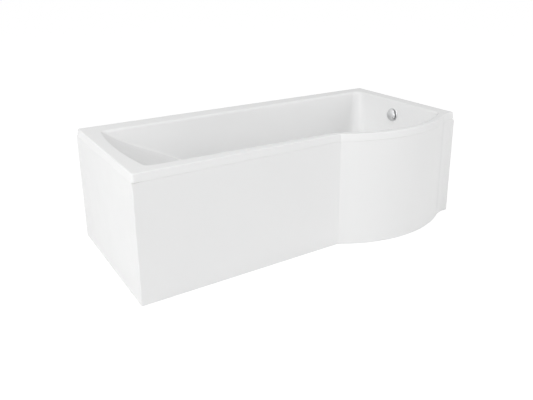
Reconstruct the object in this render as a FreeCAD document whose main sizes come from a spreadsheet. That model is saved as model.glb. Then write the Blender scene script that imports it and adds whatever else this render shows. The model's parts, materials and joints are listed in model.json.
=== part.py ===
import FreeCAD, Part
import math
import os
import re
from types import SimpleNamespace

import Sketcher

# P-shaped acrylic shower bath with a bulged foot end, two panels, leg frames and a waste set.
# Millimetres. The origin is on the floor under the middle of the box, +X points to the foot end,
# +Y to the wall behind the bath and +Z up.

SIZES = (
    # plan and height
    ("length", 1700, "head end to foot end"),
    ("narrow_width", 745, "wall side to the flat front"),
    ("bulge_depth", 105, "bulge beyond the flat front"),
    ("bulge_chord", 674, "crease to the far end of the bulge"),
    ("land_length", 68, "flat stretch between the bulge and the foot end"),
    ("height", 540, "floor to the top of the rim"),
    ("rim_corner", 14, "plan radius of the rim corners"),
    ("crease_radius", 12, "plan radius in the crease where the bulge begins"),
    ("land_radius", 45, "plan radius where the bulge runs out at the foot end"),
    # rim and basin of the shell
    ("rim_height", 32, "height of the rim lip"),
    ("rim_draft", 6, "how far the lip leans in at its top"),
    ("rim_edge", 5, "rounding of the outer top edge"),
    ("lip_wall", 4.5, "thickness of the lip"),
    ("shell_wall", 6, "thickness of deck, basin walls and basin floor"),
    ("deck_head", 80, "deck width at the ends of the head edge"),
    ("head_bow", 24, "how far the head edge bows out between its ends"),
    ("deck_front", 75, "front deck width at the head"),
    ("deck_crease", 43, "front deck width at the crease"),
    ("deck_bulge", 43, "deck width at the middle of the bulge"),
    ("deck_foot", 78, "deck width at the foot end"),
    ("deck_back", 112, "back deck width at the head"),
    ("deck_tap", 78, "back deck width at the foot end"),
    ("deck_edge", 14, "rounding from the deck into the basin"),
    ("basin_depth", 395, "rim top to basin floor"),
    ("side_draft", 55, "how far front and back walls lean in over the depth"),
    ("foot_draft", 45, "how far the foot wall leans in over the depth"),
    ("lumbar_depth", 240, "depth where the backrest turns steeper"),
    ("lumbar_run", 428, "backrest run down to that depth"),
    ("backrest_run", 500, "backrest run down to the floor"),
    ("head_corner", 14, "basin corner radius at the head, deck level"),
    ("lumbar_corner", 24, "basin corner radius where the backrest turns steeper"),
    ("foot_corner", 32, "basin corner radius at the bulge and foot wall, deck level"),
    ("back_corner", 48, "basin corner radius at the back and foot wall, deck level"),
    ("floor_corner", 96, "basin corner radius at the floor"),
    ("basin_crease", 120, "radius of the basin crease"),
    ("floor_edge", 50, "rounding from the walls into the floor"),
    # panels
    ("panel_wall", 4, "panel thickness"),
    ("panel_gap", 0.5, "gap under the lip"),
    ("relief_depth", 2.2, "front panel's top edge lower at the head corner"),
    ("relief_length", 50, "length of that slope"),
    ("panel_lift", 2, "panel edge above the floor"),
    ("panel_joint", 0.5, "gap between the two panels"),
    ("panel_return", 15, "inward flange along the bottom"),
    ("panel_edge", 0.8, "rounding of the panel's outer top edge"),
    ("panel_corner", 22, "rounded top corner of the front panel at the wall"),
    ("tongue_setback", 10, "panel face to the tongue behind the lip"),
    ("tongue_height", 28, "height of the tongue"),
    ("tongue_cut", 50, "tongue left out beside the front corner"),
    # timber under the rim and the floor
    ("batten_inset", 17, "panel face to the battens"),
    ("batten_width", 16, "batten width"),
    ("batten_height", 28, "batten height"),
    ("batten_end", 60, "batten ends short of the bath corners"),
    ("batten_crease", 40, "front batten ends short of the crease"),
    ("board_thickness", 15, "base board thickness"),
    ("board_side_gap", 75, "base board inside the floor's sides"),
    ("board_head_gap", 85, "base board inside the floor's head edge"),
    ("board_foot_gap", 80, "base board inside the floor's foot edge"),
    ("board_notch", 55, "half width of the notch round the waste"),
    # leg frames
    ("leg_head_inset", 28, "head leg bar from the board's head end"),
    ("leg_foot_inset", 190, "foot leg bar from the board's foot end"),
    ("bar_width", 40, "leg bar width"),
    ("bar_height", 28, "leg bar height"),
    ("bar_wall", 2.5, "leg bar steel"),
    ("bar_end", 22, "leg bar beyond its feet"),
    ("foot_setback", 80, "feet from the flat front and from the back"),
    ("bulge_setback", 52, "front foot from the bulge"),
    ("rod_radius", 6, "threaded foot rod"),
    ("rod_play", 0.06, "radial play between rod and nuts"),
    ("hole_play", 0.5, "radial play of rods and screws in sheet metal"),
    ("rod_spare", 8, "rod above its nut at full travel"),
    ("foot_travel", 35, "height adjustment of each foot"),
    ("collar_radius", 10, "stop collar on the rod"),
    ("collar_height", 8, "stop collar height"),
    ("stop_gap", 0.3, "stop collar below its nut"),
    ("nut_width", 19, "nut across flats"),
    ("nut_height", 8, "nut height"),
    ("nut_bevel", 1.4, "height of the cone that bevels the nut's corners"),
    ("pad_radius", 26, "foot pad"),
    ("pad_rim", 6, "height of the foot pad's rim"),
    ("pad_slope", 4, "height of the slope from the foot pad's rim to its neck"),
    ("pad_neck", 13, "foot pad's neck radius"),
    ("pad_height", 22, "foot pad height"),
    ("pad_floor", 8, "foot pad under the rod"),
    ("pad_play", 0.1, "rod in the foot pad"),
    # brackets, clips and screws
    ("strap_width", 30, "panel brackets and panel clips"),
    ("strap_wall", 3, "bracket steel"),
    ("strap_tab", 40, "upright tab behind the panel"),
    ("strap_tail", 16, "bracket behind the foot rod"),
    ("seat_gap", 0.3, "clearance where a piece seats against the panel"),
    ("clip_hook", 3, "thickness of the clip's hook"),
    ("clip_reach", 5, "panel face to the tip of the clip's hook"),
    ("clip_setback", 180, "outer clips from the ends of their panel"),
    ("angle_width", 40, "wall bracket width"),
    ("angle_leg", 40, "wall bracket's flat leg"),
    ("angle_drop", 62, "wall bracket's upright leg"),
    ("angle_wall", 3, "wall bracket steel"),
    ("angle_end", 260, "outer wall brackets from the bath's ends"),
    ("wall_hole", 3.25, "wall bracket screw hole radius"),
    ("wall_hole_pitch", 28, "wall bracket screw holes apart"),
    ("wall_hole_drop", 20, "upper wall screw hole below the batten"),
    ("screw_radius", 2.2, "wood screw shank"),
    ("screw_head", 4.4, "wood screw head radius"),
    ("screw_head_height", 2.4, "wood screw head height"),
    ("screw_length", 13, "wood screw shank length"),
    ("screw_play", 0.1, "screw shank in its hole"),
    ("recess_length", 4.6, "length of the two slots crossed in a screw head"),
    ("recess_width", 1, "width of those slots"),
    ("recess_depth", 1.4, "depth of those slots"),
    # waste in the basin floor
    ("waste_from_foot", 142, "waste from the floor's foot edge"),
    ("waste_from_back", 385, "waste and overflow from the back"),
    ("waste_hole", 26, "waste and overflow hole radius"),
    ("waste_bore", 20, "bore of the waste flange"),
    ("waste_stem", 24, "threaded stem of the waste flange"),
    ("thread_play", 0.1, "threaded pieces"),
    ("waste_rim", 35, "waste flange radius"),
    ("waste_rim_height", 3, "waste flange height"),
    ("waste_rim_bevel", 1, "height of the waste flange's bevelled edge"),
    ("waste_rim_slope", 2, "width of that bevel"),
    ("waste_seat", 2.5, "conical seat in the flange"),
    ("seal_height", 1.5, "seal under the waste flange"),
    ("gasket_height", 3, "gasket under the basin floor"),
    ("gasket_setback", 1, "seals and gaskets inside the rims that press them"),
    ("cup_rim", 38, "waste body's flange radius"),
    ("cup_rim_height", 4, "waste body's flange height"),
    ("cup_radius", 31, "waste body radius"),
    ("cup_wall", 4.5, "waste body wall"),
    ("cup_depth", 56, "waste body below its flange top"),
    ("neck_depth", 20, "threaded neck of the waste body"),
    ("pipe_radius", 20, "waste pipe and trap radius"),
    ("pipe_wall", 2.5, "waste pipe and trap wall"),
    ("spigot", 16, "waste body's outlet spigot"),
    ("union_wall", 6.5, "wall of the union nuts"),
    ("union_height", 20, "height of the union nuts"),
    ("union_bevel", 1, "bevel at the ends of the union nuts"),
    ("union_play", 0.3, "union nuts round their pipes"),
    ("union_rib", 4, "width of a grip rib on a union nut"),
    ("union_rib_rise", 2, "grip rib above the union nut"),
    ("union_rib_end", 2, "grip rib short of the union nut's ends"),
    ("butt_gap", 0.3, "pipe ends apart inside a union nut"),
    ("trap_bend", 30, "centre radius of the trap's bend"),
    ("trap_leg", 5, "straight legs of the trap"),
    ("trap_rise", 28, "centre radius of the trap's outlet bend"),
    ("outlet_setback", 60, "outlet pipe end from the back"),
    ("coupling_radius", 23.5, "straight coupling on the outlet pipe"),
    ("coupling_start", 12, "coupling from the pipe's trap end"),
    ("coupling_length", 32, "coupling length"),
    # plug and its lever
    ("plug_radius", 30, "plug cover"),
    ("plug_height", 6.5, "plug cover height"),
    ("plug_edge", 3, "plug cover's rim height"),
    ("plug_bevel", 1, "bevel under the plug cover's rim"),
    ("plug_seal_radius", 20.4, "plug seal"),
    ("plug_seal_height", 2.5, "plug seal height"),
    ("plug_gap", 0.9, "plug cover above the flange when shut"),
    ("stem_radius", 4, "plug stem"),
    ("stem_play", 0.06, "plug stem in its guide"),
    ("guide_radius", 8, "stem guide"),
    ("guide_height", 9, "stem guide height"),
    ("guide_drop", 20, "stem guide's top below the waste body's top"),
    ("guide_bar", 4, "bar that carries the stem guide"),
    ("plug_lift", 9, "travel of the plug"),
    ("lever_arm", 14, "lever pivot from the plug stem"),
    ("lever_drop", 41, "lever pivot below the waste body's top"),
    ("lever_tip", 3, "radius of the lever's tip"),
    ("lever_hub", 4.5, "radius of the lever's hub"),
    ("lever_width", 8, "lever width"),
    ("lever_bar", 4, "lever thickness"),
    ("lever_gap", 0.3, "lever tip below the stem"),
    ("pin_radius", 1.5, "lever pin"),
    ("pin_play", 0.05, "lever on its pin"),
    ("pin_length", 50, "lever pin length"),
    # overflow in the foot wall
    ("overflow_drop", 78, "overflow centre below the rim"),
    ("rosette_radius", 37, "overflow rosette"),
    ("rosette_height", 4, "overflow rosette height"),
    ("rosette_slope", 3, "width of the rosette's sloping edge"),
    ("rosette_bore", 21, "overflow rosette's bore"),
    ("rosette_bevel", 2, "bevel at the rosette's bore"),
    ("rosette_stem", 28, "threaded stem of the rosette behind the wall face"),
    ("gasket_wall", 2, "overflow gasket thickness"),
    ("elbow_rim_height", 3, "overflow elbow's flange height"),
    ("elbow_radius", 29, "overflow elbow"),
    ("elbow_depth", 62, "overflow elbow's back below the wall face"),
    ("elbow_wall", 4, "overflow elbow wall"),
    ("spout_length", 46, "overflow elbow's spout from its axis"),
    ("knob_radius", 31, "overflow knob"),
    ("knob_height", 12, "overflow knob height"),
    ("knob_gap", 4, "overflow knob above its rosette"),
    ("knob_edge", 5, "height of the knob's rim"),
    ("knob_bevel", 2, "bevel under the knob's rim"),
    ("knob_grip", 16, "radius of the knob's three finger hollows"),
    ("knob_grip_bite", 5, "depth of the knob's finger hollows"),
    ("knob_socket", 8, "depth of the spindle's socket in the knob"),
    ("spindle_radius", 5, "knob spindle"),
    ("spindle_play", 0.06, "knob spindle in the elbow"),
    ("bearing_radius", 9, "spindle bearing in the elbow's back"),
    ("bearing_height", 12, "spindle bearing height"),
    ("drum_radius", 16, "wire drum on the spindle"),
    ("drum_height", 6, "wire drum height"),
    ("drum_gap", 0.4, "spindle end and wire drum clear of the bearing"),
    # overflow pipe
    ("overflow_pipe_radius", 16, "overflow pipe and the stubs that it meets"),
    ("overflow_pipe_bore", 13, "overflow pipe bore radius"),
    ("overflow_pipe_bend", 78, "centre radius of the overflow pipe's bend"),
    ("inlet_reach", 62, "waste body's inlet stub from its axis"),
    ("inlet_drop", 30, "inlet stub below the waste body's top"),
)

doc = FreeCAD.newDocument("ShowerBath")
sheet = doc.addObject("Spreadsheet::Sheet", "Sizes")
for row, (alias, number, note) in enumerate(SIZES, start=1):
    sheet.set(f"A{row}", note)
    sheet.set(f"B{row}", str(number))
    sheet.setAlias(f"B{row}", alias)
doc.recompute()

ALIASES = {alias for alias, number, note in SIZES}
size = SimpleNamespace(**{alias: float(sheet.get(alias)) for alias in ALIASES})
nodes = {}


# Expressions, sketches and document objects

def linked(text):
    def cell(word):
        return f"Sizes.{word[0]}" if word[0] in ALIASES else word[0]

    return re.sub(r"[a-z][a-z0-9_]*", cell, text)


def value(text):
    result = sheet.evalExpression(text)
    return float(getattr(result, "Value", result))


def bind(piece, prop, text):
    piece.setExpression(prop, linked(text))


def seat(piece, place):
    for axis, text in zip("xyz", place):
        bind(piece, f"Placement.Base.{axis}", text)


def turn(piece, axis, text):
    rotation = FreeCAD.Rotation(FreeCAD.Vector(*axis), value(text))
    piece.Placement = FreeCAD.Placement(FreeCAD.Vector(), rotation)
    bind(piece, "Placement.Rotation.Angle", text)


def keep(label, piece):
    piece.Label = label
    nodes[label] = piece
    return piece


def profile(body, role, points):
    sketch = body.newObject("Sketcher::SketchObject", f"{body.Name}_profile")
    origin = next(item for item in body.Origin.OriginFeatures if item.Role == role)
    sketch.AttachmentSupport = (origin, [""])
    sketch.MapMode = "FlatFace"
    corners = [FreeCAD.Vector(value(across), value(up), 0) for across, up in points]
    count = len(corners)
    for index in range(count):
        sketch.addGeometry(Part.LineSegment(corners[index], corners[(index + 1) % count]))
    for index in range(count):
        sketch.addConstraint(Sketcher.Constraint("Coincident", index, 2, (index + 1) % count, 1))
    for index, texts in enumerate(points):
        for kind, text in zip(("DistanceX", "DistanceY"), texts):
            place = sketch.addConstraint(Sketcher.Constraint(kind, -1, 1, index, 1, value(text)))
            bind(sketch, f"Constraints[{place}]", text)
    return sketch


def turned(name, points, place=("0", "0", "0")):
    body = doc.addObject("PartDesign::Body", name)
    sketch = profile(body, "XZ_Plane", points)
    spin = body.newObject("PartDesign::Revolution", f"{name}_spin")
    spin.Profile = sketch
    spin.ReferenceAxis = (sketch, ["V_Axis"])
    spin.Angle = 360
    seat(body, place)
    return body


def extruded(name, role, points, length, place=("0", "0", "0")):
    body = doc.addObject("PartDesign::Body", name)
    pad = body.newObject("PartDesign::Pad", f"{name}_pad")
    pad.Profile = profile(body, role, points)
    pad.SideType = "Symmetric"
    bind(pad, "Length", length)
    seat(body, place)
    return body


def block(name, sizes, place):
    box = doc.addObject("Part::Box", name)
    for prop, text in zip(("Length", "Width", "Height"), sizes):
        bind(box, prop, text)
    seat(box, place)
    return box


def rod(name, radius, height, place, axis=None, angle="0"):
    cylinder = doc.addObject("Part::Cylinder", name)
    bind(cylinder, "Radius", radius)
    bind(cylinder, "Height", height)
    if axis:
        turn(cylinder, axis, angle)
    seat(cylinder, place)
    return cylinder


def fused(name, pieces):
    whole = doc.addObject("Part::MultiFuse", name)
    whole.Shapes = pieces
    whole.Refine = True
    return whole


def cut(name, base, tools):
    rest = doc.addObject("Part::Cut", name)
    rest.Base = base
    rest.Tool = tools[0] if len(tools) == 1 else fused(f"{name}_tools", tools)
    rest.Refine = True
    return rest


def shared(name, base, tool):
    core = doc.addObject("Part::Common", name)
    core.Base = base
    core.Tool = tool
    core.Refine = True
    return core


def domed(name, base, radius, top, rise):
    ball_radius = f"(({radius} ^ 2 + {rise} ^ 2) / (2 * {rise}))"
    ball = doc.addObject("Part::Sphere", f"{name}_ball")
    bind(ball, "Radius", ball_radius)
    seat(ball, ("0", "0", f"{top} - {ball_radius}"))
    return shared(name, base, ball)


def solid(name, shape):
    piece = doc.addObject("Part::Feature", name)
    piece.Shape = shape
    return piece


def group(name, master, places):
    doc.recompute()
    copies = []
    for place in places:
        copy = master.Shape.copy()
        copy.Placement = place.multiply(copy.Placement)
        copies.append(copy)
    return solid(name, Part.makeCompound(copies))


def at(x, y, z, axis=(0, 0, 1), angle=0):
    return FreeCAD.Placement(FreeCAD.Vector(x, y, z), FreeCAD.Rotation(FreeCAD.Vector(*axis), angle))


# Closed plan outlines of straight and arched sides with rounded corners.
# A corner is its point, its radius, negative where the outline turns inwards there,
# and the bow of the side that leaves it.

def corner(x, y, radius, bow=0):
    return SimpleNamespace(point=FreeCAD.Vector(x, y, 0), radius=radius, bow=bow)


def side(start, end):
    along = end.point - start.point
    half = along.Length / 2
    along.normalize()
    inward = FreeCAD.Vector(-along.y, along.x, 0)
    if not start.bow:
        return SimpleNamespace(point=start.point, along=along, inward=inward, radius=0)
    radius = (half**2 + start.bow**2) / (2 * start.bow)
    centre = (start.point + end.point) * 0.5 + inward * (radius - start.bow)
    return SimpleNamespace(point=centre, radius=radius)


def crossing(first, second, offset, near):
    if first.radius:
        first, second = second, first
    base = first.point + first.inward * offset
    if second.radius:
        foot = base + first.along * (second.point - base).dot(first.along)
        reach = math.sqrt((second.radius - offset) ** 2 - (second.point - foot).Length ** 2)
        options = [foot + first.along * reach, foot - first.along * reach]
        return min(options, key=lambda point: (point - near).Length)
    other = second.point + second.inward * offset
    step = (other - base).dot(second.inward) / first.along.dot(second.inward)
    return base + first.along * step


def touch(edge, centre, inset):
    if edge.radius:
        away = centre - edge.point
        return edge.point + away * ((edge.radius - inset) / away.Length)
    base = edge.point + edge.inward * inset
    return base + edge.along * (centre - base).dot(edge.along)


def arc_middle(centre, start, end, radius):
    away = (start - centre) + (end - centre)
    return centre + away * (radius / away.Length)


def outline(corners, inset, z):
    least = 1.0
    count = len(corners)
    sides = [side(corners[index], corners[(index + 1) % count]) for index in range(count)]
    joins = []
    for index, spot in enumerate(corners):
        if spot.radius > 0:
            radius = max(spot.radius - inset, least)
            offset = inset + radius
        else:
            radius = inset - spot.radius
            offset = spot.radius
        centre = crossing(sides[index - 1], sides[index], offset, spot.point)
        start = touch(sides[index - 1], centre, inset)
        end = touch(sides[index], centre, inset)
        joins.append((start, arc_middle(centre, start, end, radius), end))
    lift = FreeCAD.Vector(0, 0, z)
    edges = []
    for index in range(count):
        start, middle, end = joins[index]
        edges.append(Part.Arc(start + lift, middle + lift, end + lift).toShape())
        after = joins[(index + 1) % count][0]
        edge = sides[index]
        if edge.radius:
            middle = arc_middle(edge.point, end, after, edge.radius - inset)
            edges.append(Part.Arc(end + lift, middle + lift, after + lift).toShape())
        else:
            edges.append(Part.LineSegment(end + lift, after + lift).toShape())
    return Part.Wire(edges)


# Driving levels and lines, as expressions and as numbers

BACK = "((narrow_width + bulge_depth) / 2)"
FRONT = "((bulge_depth - narrow_width) / 2)"
HEAD = "(-length / 2)"
FOOT = "(length / 2)"
CREASE = f"({FOOT} - land_length - bulge_chord)"
FLOOR = "(height - basin_depth)"
BOARD_BOTTOM = f"({FLOOR} - shell_wall - board_thickness)"
BATTEN_TOP = "(height - shell_wall)"
BATTEN_BOTTOM = f"({BATTEN_TOP} - batten_height)"
PANEL_TOP = "(height - rim_height - panel_gap)"
LEDGE = f"({PANEL_TOP} - panel_wall)"
WASTE_X = f"({FOOT} - deck_foot - foot_draft - waste_from_foot)"
WASTE_Y = f"({BACK} - waste_from_back)"
BOARD_HEAD = f"({HEAD} + deck_head + backrest_run + board_head_gap)"
BOARD_FOOT = f"({FOOT} - deck_foot - foot_draft - board_foot_gap)"
BOARD_FRONT = f"({FRONT} + deck_front + side_draft + board_side_gap)"
BOARD_BACK = f"({BACK} - deck_back - side_draft - board_side_gap)"
CUP_TOP = f"({FLOOR} - shell_wall - gasket_height)"
TILT = "atan(foot_draft / basin_depth)"
WALL = f"(shell_wall * (cos({TILT}) + sin({TILT})))"
OVERFLOW_X = f"({FOOT} - deck_foot - foot_draft * overflow_drop / basin_depth)"
OVERFLOW_Z = "(height - overflow_drop)"

back = value(BACK)
front = value(FRONT)
head = value(HEAD)
foot = value(FOOT)
crease = value(CREASE)
panel_top = value(PANEL_TOP)
ledge = value(LEDGE)


def bath_corners(radius):
    return [
        corner(head, back, radius),
        corner(head, front, radius),
        corner(crease, front, -size.crease_radius, size.bulge_depth),
        corner(crease + size.bulge_chord, front, -size.land_radius),
        corner(foot, front, radius),
        corner(foot, back, radius),
    ]


# what changes along the backrest does so evenly from the deck to the turn, and evenly from there down
def beside_backrest(depth, deck, lumbar, floor):
    if depth <= size.lumbar_depth:
        return deck + (lumbar - deck) * depth / size.lumbar_depth
    lower = (depth - size.lumbar_depth) / (size.basin_depth - size.lumbar_depth)
    return lumbar + (floor - lumbar) * lower


def basin_corners(depth):
    share = depth / size.basin_depth
    lean = size.side_draft * share
    head_x = head + size.deck_head + beside_backrest(depth, 0, size.lumbar_run, size.backrest_run)
    head_radius = beside_backrest(depth, size.head_corner, size.lumbar_corner, size.floor_corner)
    foot_x = foot - size.deck_foot - size.foot_draft * share
    crease_y = front + size.deck_crease + lean
    bow = size.bulge_depth + size.deck_crease - size.deck_bulge

    def radius(deck_radius):
        return deck_radius + (size.floor_corner - deck_radius) * share

    return [
        corner(head_x, back - size.deck_back - lean, head_radius, size.head_bow),
        corner(head_x, front + size.deck_front + lean, head_radius),
        corner(crease, crease_y, -size.basin_crease, bow),
        corner(foot_x, crease_y, radius(size.foot_corner)),
        corner(foot_x, back - size.deck_tap - lean, radius(size.back_corner)),
    ]


def edges_at(shape, z):
    return [edge for edge in shape.Edges if all(abs(vertex.Z - z) < 0.01 for vertex in edge.Vertexes)]


# Shell: deck, drafted lip and lofted basin with a sloping backrest

def rim_solid():
    corners = bath_corners(size.rim_corner)
    top = size.height
    low = top - size.rim_height
    under = top - size.shell_wall
    outside = Part.makeLoft([outline(corners, size.rim_draft, top), outline(corners, 0, low)], True, True)
    outside = outside.makeFillet(size.rim_edge, edges_at(outside, top))
    under_inset = size.rim_draft * (1 - size.shell_wall / size.rim_height) + size.lip_wall
    inner = [outline(corners, under_inset, under), outline(corners, size.lip_wall, low)]
    return outside.cut(Part.makeLoft(inner, True, True))


def basin_solid(wall):
    depths = (0, size.lumbar_depth / 2, size.lumbar_depth, size.basin_depth)
    sections = [outline(basin_corners(depth), -wall, size.height - depth - wall) for depth in depths]
    loft = Part.makeLoft(sections, True, False)
    return loft.makeFillet(size.floor_edge + wall, edges_at(loft, size.height - size.basin_depth - wall))


def overflow_place():
    tilt = value(TILT) - 90
    return at(value(OVERFLOW_X), value(WASTE_Y), value(OVERFLOW_Z), (0, 1, 0), tilt)


def shell_solid():
    shell = rim_solid().fuse(basin_solid(size.shell_wall)).cut(basin_solid(0))
    mouth = outline(basin_corners(0), 0, size.height)
    inner = [edge for edge in edges_at(shell, size.height) if mouth.distToShape(edge.Vertexes[0])[0] < 0.05]
    shell = shell.makeFillet(size.deck_edge, inner)
    reach = 3 * size.shell_wall
    spot = FreeCAD.Vector(value(WASTE_X), value(WASTE_Y), value(FLOOR) - reach)
    waste = Part.makeCylinder(size.waste_hole, 2 * reach, spot)
    overflow = Part.makeCylinder(size.waste_hole, 2 * reach, FreeCAD.Vector(0, 0, -reach))
    overflow.Placement = overflow_place()
    return shell.cut(waste).cut(overflow)


keep("bath_shell", solid("bath_shell", shell_solid()))


# Panels: a face, a ledge with a tongue that stands behind the lip, and a flange along the floor

def ring(corners, outer, inner, low, high):
    rise = FreeCAD.Vector(0, 0, high - low)
    outside = Part.Face(outline(corners, outer, low)).extrude(rise)
    inside = Part.Face(outline(corners, inner, low)).extrude(rise)
    return outside.cut(inside)


def stretch(x_low, x_high, depth):
    room = size.bulge_depth + size.panel_wall
    corner_point = FreeCAD.Vector(x_low, front - room, 0)
    return Part.makeBox(x_high - x_low, room + depth, size.height, corner_point)


def front_panel_solid():
    corners = bath_corners(size.panel_wall)
    wall = size.panel_wall
    inner = size.tongue_setback + wall
    low = size.panel_lift
    far = crease + size.bulge_chord
    face = ring(corners, 0, wall, low, panel_top).common(stretch(head, foot, wall))
    shelf = ring(corners, 0, inner, ledge, panel_top).common(stretch(head + inner, foot - inner, inner))
    tongue = ring(corners, size.tongue_setback, inner, ledge, ledge + size.tongue_height)
    tongue = tongue.common(stretch(head + size.tongue_cut, far, inner))
    flange = ring(corners, 0, size.panel_return, low, low + wall)
    flange = flange.common(stretch(head + size.panel_return, foot - size.panel_return, size.panel_return))
    panel = face.fuse([shelf, tongue, flange]).removeSplitter()
    brink = outline(corners, 0, panel_top)
    upper = [edge for edge in edges_at(panel, panel_top)
             if brink.distToShape(edge)[0] < 0.01 and abs(edge.CenterOfMass.x) < foot - wall]
    panel = panel.makeFillet(size.panel_edge, upper)
    radius = size.panel_corner
    deep = size.bulge_depth
    start = FreeCAD.Vector(foot - radius, front - deep, panel_top - radius)
    offcut = Part.makeBox(radius, 2 * deep, radius, start)
    rounding = Part.makeCylinder(radius, 2 * deep, start, FreeCAD.Vector(0, 1, 0))
    wedge = [
        FreeCAD.Vector(head, front, panel_top - size.relief_depth),
        FreeCAD.Vector(head, front, panel_top),
        FreeCAD.Vector(head + size.relief_length, front, panel_top),
    ]
    relief = Part.Face(Part.makePolygon(wedge + wedge[:1])).extrude(FreeCAD.Vector(0, inner, 0))
    return panel.cut([offcut.cut(rounding), relief])


keep("front_panel", solid("front_panel", front_panel_solid()))

END_SPAN = "(narrow_width - panel_wall - panel_joint)"
END_INNER = "(tongue_setback + panel_wall)"
end_face = extruded("end_face", "XZ_Plane", (
    ("0", "panel_lift"), ("panel_return", "panel_lift"), ("panel_return", "panel_lift + panel_wall"),
    ("panel_wall", "panel_lift + panel_wall"), ("panel_wall", LEDGE), (END_INNER, LEDGE),
    (END_INNER, f"{LEDGE} + tongue_height"), ("tongue_setback", f"{LEDGE} + tongue_height"),
    ("tongue_setback", PANEL_TOP), ("panel_edge", PANEL_TOP), ("0", f"{PANEL_TOP} - panel_edge"),
), END_SPAN, (HEAD, f"{BACK} - {END_SPAN} / 2", "0"))
end_clear = [block(f"end_clear_{name}", (END_INNER, "tongue_cut", "tongue_height"),
                   (f"{HEAD} + panel_wall", y, PANEL_TOP))
             for name, y in (("front", FRONT), ("back", f"{BACK} - tongue_cut"))]
keep("end_panel", cut("end_panel", end_face, end_clear))


# Screws, clips and wall brackets

screw_plain = turned("screw_plain", (
    ("0", "-screw_head_height"), ("screw_head", "-screw_head_height"), ("screw_radius", "0"),
    ("screw_radius", "screw_length"), ("0", "screw_length"),
))
screw = cut("screw", screw_plain, [
    block("recess_along_x", ("recess_length", "recess_width", "recess_depth"),
          ("-recess_length / 2", "-recess_width / 2", "-screw_head_height")),
    block("recess_along_y", ("recess_width", "recess_length", "recess_depth"),
          ("-recess_width / 2", "-recess_length / 2", "-screw_head_height")),
])
screw_space = turned("screw_space", (
    ("0", "-screw_head_height"), ("screw_head + screw_play", "-screw_head_height"),
    ("screw_radius + screw_play", "0"),
    ("screw_radius + screw_play", "screw_length + screw_play"), ("0", "screw_length + screw_play"),
))


def screwed(name, base, places):
    space = group(f"{name}_screw_space", screw_space, places)
    return cut(name, base, [space])


CLIP_LEG = f"({END_INNER} + seat_gap)"
clip_plain = extruded("clip_plain", "XZ_Plane", (
    ("clip_reach", f"{LEDGE} - seat_gap - clip_hook"), ("batten_inset", f"{LEDGE} - seat_gap - clip_hook"),
    ("batten_inset", BATTEN_TOP), (CLIP_LEG, BATTEN_TOP),
    (CLIP_LEG, f"{LEDGE} - seat_gap"), ("clip_reach", f"{LEDGE} - seat_gap"),
), "strap_width")
batten_middle = value(f"{BATTEN_TOP} - batten_height / 2")
clip_screw = at(size.batten_inset, 0, batten_middle, (0, 1, 0), 90)
clip = screwed("clip", clip_plain, [clip_screw])

clip_spots = [at(head, front + size.clip_setback, 0), at(head, back - size.clip_setback, 0)]
for share in (0, 0.5, 1):
    first = head + size.clip_setback
    last = crease - size.clip_setback
    clip_spots.append(at(first + (last - first) * share, front, 0, (0, 0, 1), 90))
clip_screws = [spot.multiply(clip_screw) for spot in clip_spots]
keep("panel_clips", group("panel_clips", clip, clip_spots))
keep("panel_clip_screws", group("panel_clip_screws", screw, clip_screws))

angle_spots = [head + size.angle_end, 0, foot - size.angle_end]
ANGLE_HOLE = f"({BACK} - batten_inset - batten_width / 2)"
angle_screws = [at(x, value(ANGLE_HOLE), value(BATTEN_BOTTOM)) for x in angle_spots]
angle_plain = extruded("angle_plain", "YZ_Plane", (
    (f"{BACK} - angle_leg", f"{BATTEN_BOTTOM} - angle_wall"),
    (f"{BACK} - angle_wall", f"{BATTEN_BOTTOM} - angle_wall"),
    (f"{BACK} - angle_wall", f"{BATTEN_BOTTOM} - angle_drop"), (BACK, f"{BATTEN_BOTTOM} - angle_drop"),
    (BACK, BATTEN_BOTTOM), (f"{BACK} - angle_leg", BATTEN_BOTTOM),
), "angle_width")
WALL_HOLE = f"({BATTEN_BOTTOM} - wall_hole_drop)"
wall_holes = [rod(name, "wall_hole", "3 * angle_wall", ("0", f"{BACK} + angle_wall", z), (1, 0, 0), "90")
              for name, z in (("wall_hole_upper", WALL_HOLE),
                              ("wall_hole_lower", f"{WALL_HOLE} - wall_hole_pitch"))]
angle_hole = rod("angle_hole", "screw_radius + hole_play", "3 * angle_wall",
                 ("0", ANGLE_HOLE, f"{BATTEN_BOTTOM} - 2 * angle_wall"))
angle = cut("angle", angle_plain, wall_holes + [angle_hole])
keep("wall_brackets", group("wall_brackets", angle, [at(x, 0, 0) for x in angle_spots]))
bracket_drop = at(0, 0, -size.angle_wall)
keep("wall_bracket_screws", group("wall_bracket_screws", screw,
                                  [bracket_drop.multiply(place) for place in angle_screws]))


# Battens under the rim and the board under the basin floor

BATTEN = ("batten_width", "batten_height")
batten_back = block("batten_back_plain", ("length - 2 * batten_end", *BATTEN),
                    (f"{HEAD} + batten_end", f"{BACK} - batten_inset - batten_width", BATTEN_BOTTOM))
batten_front = block("batten_front_plain", (f"{CREASE} - batten_crease - {HEAD} - batten_end", *BATTEN),
                     (f"{HEAD} + batten_end", f"{FRONT} + batten_inset", BATTEN_BOTTOM))
CROSS = ("batten_width", "narrow_width - 2 * batten_end", "batten_height")
batten_head = block("batten_head_plain", CROSS,
                    (f"{HEAD} + batten_inset", f"{FRONT} + batten_end", BATTEN_BOTTOM))
batten_foot = block("batten_foot", CROSS,
                    (f"{FOOT} - batten_inset - batten_width", f"{FRONT} + batten_end", BATTEN_BOTTOM))
keep("rim_batten_back", screwed("rim_batten_back", batten_back,
                                [bracket_drop.multiply(place) for place in angle_screws]))
keep("rim_batten_front", screwed("rim_batten_front", batten_front, clip_screws[2:]))
keep("rim_batten_head", screwed("rim_batten_head", batten_head, clip_screws[:2]))
keep("rim_batten_foot", batten_foot)

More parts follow.
